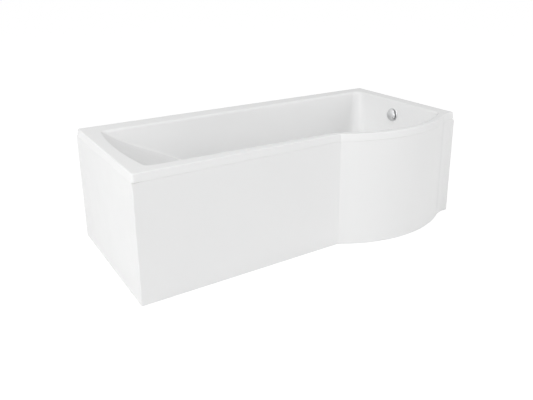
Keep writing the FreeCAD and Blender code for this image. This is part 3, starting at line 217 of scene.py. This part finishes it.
class Finish:
    # one material with its Principled shader, object coordinates and the shared groups

    def __init__(self, name):
        self.material = bpy.data.materials.new(name)
        self.material.use_nodes = True
        self.tree = self.material.node_tree
        self.shader = self.tree.nodes["Principled BSDF"]
        self.place = self.tree.nodes.new("ShaderNodeTexCoord").outputs["Object"]

    def mapped(self, scale, turn=(0, 0, 0)):
        node = self.tree.nodes.new("ShaderNodeMapping")
        node.inputs["Scale"].default_value = scale
        node.inputs["Rotation"].default_value = [math.radians(angle) for angle in turn]
        link(self.tree, self.place, node.inputs["Vector"])
        return node.outputs["Vector"]

    def mottle(self, scale, low=0.0, high=1.0, vector=None):
        node = self.tree.nodes.new("ShaderNodeGroup")
        node.node_tree = softMottle
        link(self.tree, vector or self.place, node.inputs["Vector"])
        node.inputs["Scale"].default_value = scale
        node.inputs["Low"].default_value = low
        node.inputs["High"].default_value = high
        return node.outputs["Value"]

    def texture(self, kind, vector=None, **values):
        node = self.tree.nodes.new(kind)
        for label, amount in values.items():
            node.inputs[label].default_value = amount
        link(self.tree, vector or self.place, node.inputs["Vector"])
        return node

    def channel(self, color, index):
        node = self.tree.nodes.new("ShaderNodeSeparateColor")
        link(self.tree, color, node.inputs[0])
        return node.outputs[index]

    def tint(self, amount, look):
        node = self.tree.nodes.new("ShaderNodeGroup")
        node.node_tree = tintedSpread
        link(self.tree, amount, node.inputs["Amount"])
        node.inputs["Dark"].default_value = (*look["dark"], 1)
        node.inputs["Light"].default_value = (*look["light"], 1)
        link(self.tree, node.outputs["Color"], self.shader.inputs["Base Color"])

    def rough(self, look, vector=None):
        amount = self.mottle(look["roughPatches"], *look["rough"], vector)
        link(self.tree, amount, self.shader.inputs["Roughness"])

    def bump(self, height, look):
        node = self.tree.nodes.new("ShaderNodeBump")
        node.inputs["Strength"].default_value = look["bumpStrength"]
        node.inputs["Distance"].default_value = look["bumpHeight"]
        link(self.tree, height, node.inputs["Height"])
        link(self.tree, node.outputs["Normal"], self.shader.inputs["Normal"])

    def fixed(self, label, amount):
        self.shader.inputs[label].default_value = amount


# white acrylic: even white under a thin gloss, with the faint waves of a drawn sheet
acrylicLook = {"dark": (0.868, 0.87, 0.87), "light": (0.882, 0.883, 0.882), "patches": 2.2,
               "gloss": (0.3, 0.38), "glossPatches": 9, "glossRough": 0.09, "ownShine": 0,
               "waves": 7, "bumpStrength": 0.25, "bumpHeight": 0.0006}


def makeAcrylic():
    finish = Finish("glossAcrylic")
    finish.tint(finish.mottle(acrylicLook["patches"]), acrylicLook)
    finish.bump(finish.mottle(acrylicLook["waves"]), acrylicLook)
    finish.fixed("Specular IOR Level", acrylicLook["ownShine"])
    link(finish.tree, finish.mottle(acrylicLook["glossPatches"], *acrylicLook["gloss"]),
         finish.shader.inputs["Coat Weight"])
    finish.fixed("Coat Roughness", acrylicLook["glossRough"])
    return finish.material


# glass fibre and resin sprayed on the hidden side of the shell and panels
backingLook = {"dark": (0.5, 0.5, 0.45), "light": (0.74, 0.73, 0.68), "strands": 95,
               "stretch": (1, 9, 1), "turns": ((0, 0, 25), (30, 0, 100), (70, 40, 160)),
               "roughPatches": 40, "rough": (0.35, 0.6),
               "lumps": 38, "bumpStrength": 0.5, "bumpHeight": 0.0012}


def makeBacking():
    finish = Finish("glassFibreBacking")
    vectors = [finish.mapped(backingLook["stretch"], turn) for turn in backingLook["turns"]]
    strands = [finish.mottle(backingLook["strands"], vector=vector) for vector in vectors]
    mat = strands[0]
    for strand in strands[1:]:
        mat = mathNode(finish.tree, "MAXIMUM", mat, strand)
    finish.tint(mat, backingLook)
    finish.rough(backingLook)
    lumps = mathNode(finish.tree, "ADD", mat, finish.mottle(backingLook["lumps"]))
    finish.bump(lumps, backingLook)
    return finish.material


# planed softwood with grain along one axis
timberLook = {"dark": (0.46, 0.29, 0.14), "light": (0.72, 0.53, 0.32), "stretch": (0.05, 1, 1),
              "rings": 90, "waver": 5.5, "ringDetail": 3, "ringShare": 0.65,
              "fibres": 420, "fibreShare": 0.35, "roughPatches": 60, "rough": (0.5, 0.72),
              "bumpStrength": 0.3, "bumpHeight": 0.0004}


def makeTimber(name, turn):
    finish = Finish(name)
    vector = finish.mapped(timberLook["stretch"], turn)
    rings = finish.texture("ShaderNodeTexWave", vector, Scale=timberLook["rings"],
                           Distortion=timberLook["waver"], Detail=timberLook["ringDetail"])
    rings.bands_direction = "Z"
    fibres = finish.mottle(timberLook["fibres"], vector=vector)
    grain = mathNode(finish.tree, "ADD",
                     mathNode(finish.tree, "MULTIPLY", rings.outputs["Fac"], timberLook["ringShare"]),
                     mathNode(finish.tree, "MULTIPLY", fibres, timberLook["fibreShare"]))
    finish.tint(grain, timberLook)
    finish.rough(timberLook)
    finish.bump(grain, timberLook)
    return finish.material


# raw chipboard: pressed flakes in several browns
boardLook = {"dark": (0.3, 0.2, 0.1), "light": (0.66, 0.5, 0.31), "flakes": 260,
             "stretch": (1, 0.6, 1), "roughPatches": 80, "rough": (0.62, 0.85),
             "bumpStrength": 0.35, "bumpHeight": 0.0006}


def makeChipboard():
    finish = Finish("rawChipboard")
    flakes = finish.texture("ShaderNodeTexVoronoi", finish.mapped(boardLook["stretch"]),
                            Scale=boardLook["flakes"])
    finish.tint(finish.channel(flakes.outputs["Color"], 0), boardLook)
    finish.rough(boardLook)
    finish.bump(flakes.outputs["Distance"], boardLook)
    return finish.material


# zinc plated steel with a soft spangle
zincLook = {"dark": (0.42, 0.43, 0.45), "light": (0.6, 0.61, 0.62), "spangle": 130,
            "spangleShare": 0.5, "clouds": 24, "cloudShare": 0.5,
            "roughPatches": 70, "rough": (0.3, 0.48),
            "grain": 900, "bumpStrength": 0.12, "bumpHeight": 0.0002}


def makeZinc():
    finish = Finish("zincSteel")
    cells = finish.texture("ShaderNodeTexVoronoi", Scale=zincLook["spangle"])
    spangle = mathNode(finish.tree, "MULTIPLY", finish.channel(cells.outputs["Color"], 1),
                       zincLook["spangleShare"])
    clouds = finish.mottle(zincLook["clouds"], 0, zincLook["cloudShare"])
    finish.tint(mathNode(finish.tree, "ADD", spangle, clouds), zincLook)
    finish.rough(zincLook)
    finish.bump(finish.mottle(zincLook["grain"]), zincLook)
    finish.fixed("Metallic", 1)
    return finish.material


# chrome with a soft shine and faint wipe marks
chromeLook = {"dark": (0.62, 0.625, 0.63), "light": (0.7, 0.705, 0.71), "patches": 45,
              "wipeStretch": (1, 4, 1), "wipeTurn": (20, 0, 40),
              "roughPatches": 55, "rough": (0.4, 0.48)}


def makeChrome():
    finish = Finish("polishedChrome")
    finish.tint(finish.mottle(chromeLook["patches"]), chromeLook)
    finish.rough(chromeLook, finish.mapped(chromeLook["wipeStretch"], chromeLook["wipeTurn"]))
    finish.fixed("Metallic", 1)
    return finish.material


# brass from the lathe, uneven in shade and shine
brassLook = {"dark": (0.5, 0.34, 0.12), "light": (0.74, 0.56, 0.26), "patches": 120,
             "roughPatches": 300, "rough": (0.22, 0.4),
             "grain": 1500, "bumpStrength": 0.15, "bumpHeight": 0.0002}


def makeBrass():
    finish = Finish("turnedBrass")
    finish.tint(finish.mottle(brassLook["patches"]), brassLook)
    finish.rough(brassLook)
    finish.bump(finish.mottle(brassLook["grain"]), brassLook)
    finish.fixed("Metallic", 1)
    return finish.material


# moulded plastics and rubber: one recipe, each with its own colours, shine and pores
mouldedLook = {"patches": 30, "roughPatches": 90, "bumpStrength": 0.3}
rubberLook = {**mouldedLook, "dark": (0.018, 0.018, 0.019), "light": (0.035, 0.035, 0.036),
              "rough": (0.6, 0.8), "pores": 700, "bumpHeight": 0.0003}
blackLook = {**mouldedLook, "dark": (0.022, 0.022, 0.024), "light": (0.04, 0.04, 0.043),
             "rough": (0.4, 0.58), "pores": 900, "bumpHeight": 0.0003}
whiteLook = {**mouldedLook, "dark": (0.66, 0.66, 0.64), "light": (0.74, 0.74, 0.72),
             "rough": (0.32, 0.45), "pores": 500, "bumpHeight": 0.0002}


def makeMoulded(name, look):
    finish = Finish(name)
    finish.tint(finish.mottle(look["patches"]), look)
    finish.rough(look)
    finish.bump(finish.mottle(look["pores"]), look)
    return finish.material


glossAcrylic = makeAcrylic()
glassFibreBacking = makeBacking()
timberAlongX = makeTimber("softwoodAlongX", (0, 0, 0))
timberAlongY = makeTimber("softwoodAlongY", (0, 0, 90))
rawChipboard = makeChipboard()
zincSteel = makeZinc()
polishedChrome = makeChrome()
turnedBrass = makeBrass()
mattRubber = makeMoulded("mattRubber", rubberLook)
blackPlastic = makeMoulded("blackPlastic", blackLook)
whitePlastic = makeMoulded("whitePlastic", whiteLook)
print("stage: finishes made")


# shell and panels: smooth copies of the solids, glossy where a bather sees them
shellLook = {"crease": 28, "backLean": -0.03, "lipBottom": 0.508, "lipLean": -0.9, "lipBand": 0.0005}
panelLook = {"crease": 28, "backLean": 0.3}


def paintSides(piece, isBack):
    piece.data.materials.append(glossAcrylic)
    piece.data.materials.append(glassFibreBacking)
    for face in piece.data.polygons:
        face.material_index = 1 if isBack(face) else 0


def shellBack(face):
    offLip = abs(face.center.z - shellLook["lipBottom"])
    underLip = face.normal.z < shellLook["lipLean"] and offLip < shellLook["lipBand"]
    return face.normal.z < shellLook["backLean"] and not underLip


# the bulge runs out at the foot end in a wider hollow than the solids have, as the photograph shows
hollowLook = {"front": -0.32, "bulgeEnd": 0.782, "chord": 0.674, "depth": 0.105,
              "solidRadius": 0.045, "radius": 0.165, "band": 0.02, "outside": 0.0015, "slack": 0.002,
              "halvings": 40, "low": 0.72, "high": 0.835, "margin": 0.05, "cuts": 24}


def hollowLine(x, inset, radius):  # bulge, hollow and flat strip in plan, as one line
    front, depth = hollowLook["front"], hollowLook["depth"]
    half = hollowLook["chord"] / 2
    bulge = (half**2 + depth**2) / (2 * depth)
    middleX = hollowLook["bulgeEnd"] - half
    middleY = front - depth + bulge
    hollowX = middleX + math.sqrt((bulge + radius) ** 2 - (front - radius - middleY) ** 2)
    if x >= hollowX:
        return front + inset
    if x <= middleX + (hollowX - middleX) * (bulge - inset) / (bulge + radius):
        return middleY - math.sqrt((bulge - inset) ** 2 - (x - middleX) ** 2)
    return front - radius + math.sqrt((radius + inset) ** 2 - (x - hollowX) ** 2)


def insetAt(x, y):  # how far a point lies behind the solids' front, found by halving
    low, high = -hollowLook["slack"], hollowLook["band"] + hollowLook["slack"]
    for step in range(hollowLook["halvings"]):
        middle = (low + high) / 2
        if hollowLine(x, middle, hollowLook["solidRadius"]) < y:
            low = middle
        else:
            high = middle
    return (low + high) / 2


def widenHollow(piece):
    makeActive(piece)
    low, high, band = hollowLook["low"], hollowLook["high"], hollowLook["band"]
    bpy.ops.object.mode_set(mode="EDIT")
    bpy.ops.mesh.select_mode(type="FACE")
    for index in range(hollowLook["cuts"] + 1):  # upright cuts give the wider hollow its points
        bpy.ops.mesh.select_all(action="DESELECT")
        bpy.ops.object.mode_set(mode="OBJECT")
        for face in piece.data.polygons:
            x, y, z = face.center
            near = x > low - hollowLook["margin"] and y < hollowLook["front"] + band
            face.select = near and insetAt(x, y) < band
        bpy.ops.object.mode_set(mode="EDIT")
        place = (low + (high - low) * index / hollowLook["cuts"], 0, 0)
        bpy.ops.mesh.bisect(plane_co=place, plane_no=(1, 0, 0))
    bpy.ops.mesh.select_mode(type="VERT")
    bpy.ops.object.mode_set(mode="OBJECT")
    for vertex in piece.data.vertices:
        x, y, z = vertex.co
        if low < x < high:
            inset = insetAt(x, y)
            if -hollowLook["outside"] < inset < band:
                vertex.co.y = hollowLine(x, inset, hollowLook["radius"])


shell = mergedCopy("bath_shell", "bathShell")
widenHollow(shell)
smoothOver(shell, shellLook["crease"])
paintSides(shell, shellBack)
standFor(shell, "bath_shell", "bath")

frontPanel = mergedCopy("front_panel", "frontPanel")
widenHollow(frontPanel)
smoothOver(frontPanel, panelLook["crease"])
paintSides(frontPanel, lambda face: face.normal.y > panelLook["backLean"])
standFor(frontPanel, "front_panel", "bath")

endPanel = mergedCopy("end_panel", "endPanel")
smoothOver(endPanel, panelLook["crease"])
paintSides(endPanel, lambda face: face.normal.x > panelLook["backLean"])
standFor(endPanel, "end_panel", "bath")
print("stage: shell and panels done")


# foot rods: the solids are plain, so the thread is modelled here, once, and copied to each foot
rodLook = {"crest": 0.006, "root": 0.0051, "pitch": 0.00175, "steps": 18, "turnsBelow": 2,
           "turnsAbove": 2, "merge": 0.00001, "threadCrease": 20, "collarRadius": 0.01,
           "collarLow": 0.1052, "collarHigh": 0.1132, "collarEdge": 0.0009, "collarSides": 40,
           "collarCrease": 30}


def cutLevel(height, clearAbove):
    bpy.ops.mesh.select_all(action="SELECT")
    bpy.ops.mesh.bisect(plane_co=(0, 0, height), plane_no=(0, 0, 1), use_fill=True,
                        clear_inner=not clearAbove, clear_outer=clearAbove)


def makeThread(low, high):
    deselectAll()
    bpy.ops.mesh.primitive_plane_add(size=math.sqrt(2), location=(0, 0, 0))  # half diagonal of 1
    thread = bpy.context.object
    bpy.ops.object.mode_set(mode="EDIT")
    bpy.ops.mesh.select_all(action="DESELECT")
    bpy.ops.object.mode_set(mode="OBJECT")
    thread.data.vertices[0].select = True
    bpy.ops.object.mode_set(mode="EDIT")
    bpy.ops.mesh.delete(type="VERT")  # three corners are left: the V of the thread
    bpy.ops.object.mode_set(mode="OBJECT")
    for turn in ((0, 0, -math.pi / 4), (math.pi / 2, 0, 0)):
        thread.rotation_euler = turn
        bpy.ops.object.transform_apply(location=False, rotation=True, scale=False)
    pitch = rodLook["pitch"]
    thread.scale = (rodLook["crest"] - rodLook["root"], 1, pitch / 2)
    thread.location = (rodLook["root"], 0, low - rodLook["turnsBelow"] * pitch)
    bpy.ops.object.transform_apply(location=True, rotation=True, scale=True)
    coil = thread.modifiers.new("coil", "SCREW")
    coil.axis = "Z"
    coil.screw_offset = pitch
    coil.iterations = math.ceil((high - low) / pitch) + rodLook["turnsBelow"] + rodLook["turnsAbove"]
    coil.steps = rodLook["steps"]
    coil.render_steps = rodLook["steps"]
    applyModifier(thread, coil)
    editAll(thread)
    bpy.ops.mesh.remove_doubles(threshold=rodLook["merge"])
    cutLevel(low, False)
    cutLevel(high, True)
    bpy.ops.mesh.select_all(action="SELECT")
    bpy.ops.mesh.normals_make_consistent(inside=False)
    bpy.ops.object.mode_set(mode="OBJECT")
    smoothOver(thread, rodLook["threadCrease"])
    return thread


def makeCollar():
    deselectAll()
    height = rodLook["collarHigh"] - rodLook["collarLow"]
    bpy.ops.mesh.primitive_cylinder_add(
        vertices=rodLook["collarSides"], radius=rodLook["collarRadius"], depth=height,
        location=(0, 0, rodLook["collarLow"] + height / 2))
    collar = bpy.context.object
    bpy.ops.object.transform_apply(location=True, rotation=True, scale=True)
    roundEdges(collar, rodLook["collarEdge"])
    smoothOver(collar, rodLook["collarCrease"])
    return collar


rodNodes = sorted(name for name in nodes if name.startswith("foot_rod"))
rodLow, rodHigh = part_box(rodNodes[0])
thread = makeThread(rodLow[2], rodHigh[2])
collar = makeCollar()
makeActive(thread)
collar.select_set(True)
bpy.ops.object.join()
thread.data.materials.clear()
thread.data.materials.append(zincSteel)
for nodeName in rodNodes:
    low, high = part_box(nodeName)
    rod = thread.copy()
    rod.data = thread.data.copy()
    rod.name = pieceNameOf(nodeName)
    bpy.context.scene.collection.objects.link(rod)
    makeActive(rod)
    rod.location = ((low[0] + high[0]) / 2, (low[1] + high[1]) / 2, 0)
    bpy.ops.object.transform_apply(location=True, rotation=True, scale=True)
    standFor(rod, nodeName, body_of(nodes[nodeName])[0])
bpy.data.objects.remove(thread)
print("stage: threaded rods done")


# the other solids: copies with their sharp edges rounded off by a fraction of a millimetre
softCrease = 32
softLooks = (
    {"starts": ("overflow_rosette", "overflow_knob", "waste_plug", "waste_flange"),
     "finish": polishedChrome, "slot": "chrome", "edge": 0.0006},
    {"starts": ("plug_stem", "knob_spindle"),
     "finish": turnedBrass, "slot": "brass", "edge": 0.0003},
    {"starts": ("foot_nuts", "leg_bar", "panel_bracket", "panel_clips", "wall_brackets", "lever_pin"),
     "finish": zincSteel, "slot": "zinc_steel", "edge": 0.0003},
    {"starts": ("panel_clip_screws", "wall_bracket_screws", "leg_bar_screws"),
     "finish": zincSteel, "slot": "zinc_steel", "edge": 0.0001},
    {"starts": ("foot_pad",),
     "finish": blackPlastic, "slot": "black_plastic", "edge": 0.0008},
    {"starts": ("waste_flange_seal", "waste_gasket", "plug_seal", "overflow_gasket"),
     "finish": mattRubber, "slot": "black_rubber", "edge": 0.0003},
    {"starts": ("rim_batten_front", "rim_batten_back"),
     "finish": timberAlongX, "slot": "softwood", "edge": 0.0009},
    {"starts": ("rim_batten_head", "rim_batten_foot"),
     "finish": timberAlongY, "slot": "softwood", "edge": 0.0009},
    {"starts": ("base_board",),
     "finish": rawChipboard, "slot": "chipboard", "edge": 0.0005},
    {"starts": ("trap_", "pipe_union", "outlet_pipe", "overflow_pipe", "overflow_elbow",
                "waste_body", "lift_lever"),
     "finish": whitePlastic, "slot": "white_plastic", "edge": 0.0004},
)


def lookOf(nodeName):  # the longest start that fits decides
    fitting = [(len(start), index) for index, look in enumerate(softLooks)
               for start in look["starts"] if nodeName.startswith(start)]
    return softLooks[max(fitting)[1]]


done = {"bath_shell", "front_panel", "end_panel", *rodNodes}
for nodeName in sorted(set(nodes) - done):
    look = lookOf(nodeName)
    piece = mergedCopy(nodeName, pieceNameOf(nodeName))
    roundEdges(piece, look["edge"])
    smoothOver(piece, softCrease)
    piece.data.materials.append(look["finish"])
    standFor(piece, nodeName, body_of(nodes[nodeName])[0])
for node in nodes.values():
    node.data.materials.clear()
    node.data.materials.append(whitePlastic)
print("stage: softened solids done")


# studio: pale floor, even world and four broad soft lamps, the strongest at the head end
studio = {"floorSize": 60, "floorColor": (0.86, 0.86, 0.86), "floorRough": 0.9, "floorWhite": 0.75,
          "floorGlow": 1.2, "world": 0.4, "lampSize": 3.2, "aim": (0, 0, 0.3), "lamps": (
              {"name": "headLamp", "place": (-5.2, -1.0, 2.7), "power": 114},
              {"name": "frontLamp", "place": (-2.4, -4.6, 2.4), "power": 31},
              {"name": "footLamp", "place": (3.4, -4.2, 2.2), "power": 70},
              {"name": "topLamp", "place": (-0.8, -0.4, 5.2), "power": 53})}


def seenStraight(tree):  # 1 where the camera looks, straight or by a mirror or glass
    path = tree.nodes.new("ShaderNodeLightPath")
    glossy = mathNode(tree, "MAXIMUM", path.outputs["Is Camera Ray"], path.outputs["Is Glossy Ray"])
    return mathNode(tree, "MAXIMUM", glossy, path.outputs["Is Transmission Ray"])


def makeFloor():
    deselectAll()
    bpy.ops.mesh.primitive_plane_add(size=studio["floorSize"], location=(0, 0, 0))
    floor = bpy.context.object
    floor.name = "paleFloor"
    material = bpy.data.materials.new("paleFloor")
    material.use_nodes = True
    tree = material.node_tree
    surface = tree.nodes["Principled BSDF"]
    surface.inputs["Base Color"].default_value = (*studio["floorColor"], 1)
    surface.inputs["Roughness"].default_value = studio["floorRough"]
    glow = tree.nodes.new("ShaderNodeEmission")
    glow.inputs["Strength"].default_value = studio["floorGlow"]
    mix = tree.nodes.new("ShaderNodeMixShader")
    link(tree, mathNode(tree, "MULTIPLY", seenStraight(tree), studio["floorWhite"]), mix.inputs[0])
    link(tree, surface.outputs[0], mix.inputs[1])
    link(tree, glow.outputs[0], mix.inputs[2])
    link(tree, mix.outputs[0], tree.nodes["Material Output"].inputs["Surface"])
    floor.data.materials.append(material)


def makeWorld():
    world = bpy.data.worlds.new("evenStudio")
    bpy.context.scene.world = world
    world.use_nodes = True
    tree = world.node_tree
    background = tree.nodes["Background"]
    background.inputs["Color"].default_value = (1, 1, 1, 1)
    level = mathNode(tree, "MULTIPLY_ADD", seenStraight(tree), 1 - studio["world"])
    level.node.inputs[2].default_value = studio["world"]
    link(tree, level, background.inputs["Strength"])


def makeLamp(look):
    deselectAll()
    bpy.ops.object.light_add(type="AREA", location=look["place"])
    lamp = bpy.context.object
    lamp.name = look["name"]
    lamp.data.shape = "DISK"
    lamp.data.size = studio["lampSize"]
    lamp.data.energy = look["power"]
    aim = Vector(studio["aim"]) - lamp.location
    lamp.rotation_euler = aim.to_track_quat("-Z", "Y").to_euler()


makeFloor()
makeWorld()
for lampLook in studio["lamps"]:
    makeLamp(lampLook)
bpy.context.scene.view_settings.view_transform = "Standard"
print("stage: studio lit")


# camera fitted to the photograph's corners
view = {"place": (-1.4644, -2.2527, 1.2568), "pitch": 1.2678, "yaw": -0.5827, "sensor": 36,
        "frameWidth": 533, "focalPixels": 581.4, "shift": (-0.0346, -0.1)}
deselectAll()
bpy.ops.object.camera_add(location=view["place"], rotation=(view["pitch"], 0, view["yaw"]))
camera = bpy.context.object
camera.data.sensor_width = view["sensor"]
camera.data.lens = view["focalPixels"] / view["frameWidth"] * view["sensor"]
camera.data.shift_x, camera.data.shift_y = view["shift"]
bpy.context.scene.camera = camera
print("stage: camera set")
